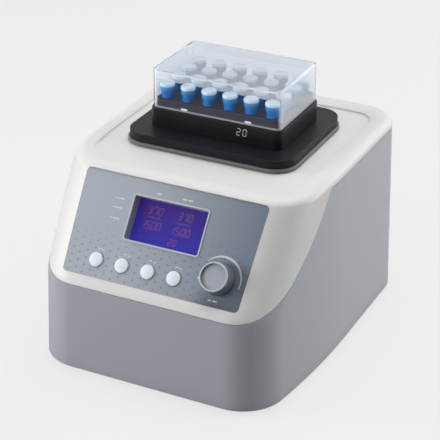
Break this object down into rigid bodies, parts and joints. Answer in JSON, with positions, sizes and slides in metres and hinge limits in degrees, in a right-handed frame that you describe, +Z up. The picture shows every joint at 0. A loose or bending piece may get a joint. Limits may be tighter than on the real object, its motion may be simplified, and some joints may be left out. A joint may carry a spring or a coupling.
{
  "type": "thermal mixer",
  "caption": "Bench thermal mixer: orbiting heated block of sealed tubes under a clear lid, on a two-shell case with a sloping control panel.",
  "frame": {"origin": "on the table, under the middle of the case", "axes": "+Z up, front with the control panel towards -Y, +X to the right seen from the front"},
  "size_m": [0.246, 0.2935, 0.2389],
  "materials": {
    "housing": "fine-textured grey moulding",
    "cover": "smooth warm white moulding",
    "steel": "zinc-plated sheet and bright screws",
    "rubber": "black rubber",
    "castings": "machined and cast aluminium",
    "motor": "black painted steel",
    "overlay": "printed satin film",
    "trim": "light grey trim",
    "bezel": "dark grey moulding",
    "window": "clear window",
    "display": "blue liquid crystal",
    "black": "black moulding",
    "board": "green laminate",
    "brass": "turned brass and bronze",
    "contacts": "plated contacts",
    "ceramic": "white ceramic",
    "insulation": "fibre insulation",
    "heater": "etched foil heater",
    "skirt": "dark brown-grey moulding",
    "plate": "black anodised plate",
    "block": "black anodised block",
    "clips": "white clips",
    "tube": "translucent polypropylene",
    "caps": "translucent white caps",
    "samples": "blue liquid",
    "lid": "clear moulded lid",
    "buttons": "pale grey moulding",
    "knob": "grey moulding with a satin face",
    "spindle": "ground steel"
  },
  "bodies": {
    "case": {"lower_housing": "housing", "top_cover": "cover", "base_plate": "steel", "rubber_feet": "rubber", "machine_screws": "steel", "drive_pillars": "steel", "drive_deck": "castings", "motor_body": "motor", "deck_bearings": "spindle", "panel_overlay": "overlay", "display_trim": "trim", "display_bezel": "bezel", "display_window": "window", "display_glass": "display", "display_frame": "black", "display_board": "board", "key_board": "board", "key_switches": "black", "encoder_body": "black", "encoder_nut": "steel", "control_board": "board", "board_standoffs": "steel", "power_board": "board", "power_parts": "board", "mains_inlet": "black", "inlet_pins": "contacts", "switch_body": "black", "fan_frame": "black"},
    "rotor": {"drive_shaft": "spindle", "eccentric_hub": "spindle", "counterweight": "castings"},
    "platform": {"platform_carrier": "castings", "eccentric_bearing": "spindle", "idler_bushes": "brass", "insulation_pad": "insulation", "heater_plate": "heater", "temperature_sensor": "ceramic", "platform_posts": "spindle", "platform_skirt": "skirt", "platform_plate": "plate"},
    "block": {"heat_block": "block", "block_step": "block", "block_clips": "clips", "tubes": "tube", "tube_caps": "caps", "tube_samples": "samples"},
    "lid": {"clear_lid": "lid"},
    "idler_front_left": {"idler_1": "spindle"},
    "idler_front_right": {"idler_2": "spindle"},
    "idler_back_right": {"idler_3": "spindle"},
    "idler_back_left": {"idler_4": "spindle"},
    "button_1": {"button_1": "buttons"},
    "button_2": {"button_2": "buttons"},
    "button_3": {"button_3": "buttons"},
    "button_4": {"button_4": "buttons"},
    "push_rod": {"encoder_plunger": "black"},
    "knob": {"knob": "knob"},
    "rocker": {"switch_rocker": "black"},
    "fan": {"fan_rotor": "black"},
    "fuse_tray": {"fuse_drawer": "black"}
  },
  "joints": [
    {"name": "motor_spin", "type": "hinge", "parent": "case", "child": "rotor", "pos_m": [0, 0.028, 0.13], "axis": [0, 0, 1], "continuous": true},
    {"name": "platform_orbit", "type": "hinge", "parent": "rotor", "child": "platform", "pos_m": [0, 0.0295, 0.151], "axis": [0, 0, 1], "continuous": true},
    {"name": "idler_front_left_spin", "type": "hinge", "parent": "case", "child": "idler_front_left", "pos_m": [-0.048, -0.003, 0.13], "axis": [0, 0, 1], "continuous": true},
    {"name": "idler_front_right_spin", "type": "hinge", "parent": "case", "child": "idler_front_right", "pos_m": [0.048, -0.003, 0.13], "axis": [0, 0, 1], "continuous": true},
    {"name": "idler_back_right_spin", "type": "hinge", "parent": "case", "child": "idler_back_right", "pos_m": [0.048, 0.059, 0.13], "axis": [0, 0, 1], "continuous": true},
    {"name": "idler_back_left_spin", "type": "hinge", "parent": "case", "child": "idler_back_left", "pos_m": [-0.048, 0.059, 0.13], "axis": [0, 0, 1], "continuous": true},
    {"name": "block_lift", "type": "slide", "parent": "platform", "child": "block", "axis": [0, 0, 1], "range_m": [0, 0.06]},
    {"name": "lid_lift", "type": "slide", "parent": "block", "child": "lid", "axis": [0, 0, 1], "range_m": [0, 0.045]},
    {"name": "button_1_press", "type": "slide", "parent": "case", "child": "button_1", "axis": [0, 0.807, -0.5906], "range_m": [0, 0.0012], "stiffness_N_per_m": 500},
    {"name": "button_2_press", "type": "slide", "parent": "case", "child": "button_2", "axis": [0, 0.807, -0.5906], "range_m": [0, 0.0012], "stiffness_N_per_m": 500},
    {"name": "button_3_press", "type": "slide", "parent": "case", "child": "button_3", "axis": [0, 0.807, -0.5906], "range_m": [0, 0.0012], "stiffness_N_per_m": 500},
    {"name": "button_4_press", "type": "slide", "parent": "case", "child": "button_4", "axis": [0, 0.807, -0.5906], "range_m": [0, 0.0012], "stiffness_N_per_m": 500},
    {"name": "knob_push", "type": "slide", "parent": "case", "child": "push_rod", "axis": [0, 0.807, -0.5906], "range_m": [0, 0.001], "stiffness_N_per_m": 1200},
    {"name": "knob_turn", "type": "hinge", "parent": "push_rod", "child": "knob", "pos_m": [0.0598, -0.12246, 0.11404], "axis": [0, -0.807, 0.5906], "continuous": true},
    {"name": "power_switch", "type": "hinge", "parent": "case", "child": "rocker", "pos_m": [-0.071, 0.1425, 0.082], "axis": [0, 0, 1], "range_deg": [-16, 0]},
    {"name": "fan_spin", "type": "hinge", "parent": "case", "child": "fan", "pos_m": [0.055, 0.135, 0.07], "axis": [0, 1, 0], "continuous": true},
    {"name": "fuse_tray_slide", "type": "slide", "parent": "case", "child": "fuse_tray", "axis": [0, 1, 0], "range_m": [0, 0.01]}
  ],
  "couplings": [
    {"joint": "motor_spin", "follows": "platform_orbit", "ratio": -1},
    {"joint": "idler_front_left_spin", "follows": "platform_orbit", "ratio": -1},
    {"joint": "idler_front_right_spin", "follows": "platform_orbit", "ratio": -1},
    {"joint": "idler_back_right_spin", "follows": "platform_orbit", "ratio": -1},
    {"joint": "idler_back_left_spin", "follows": "platform_orbit", "ratio": -1}
  ]
}
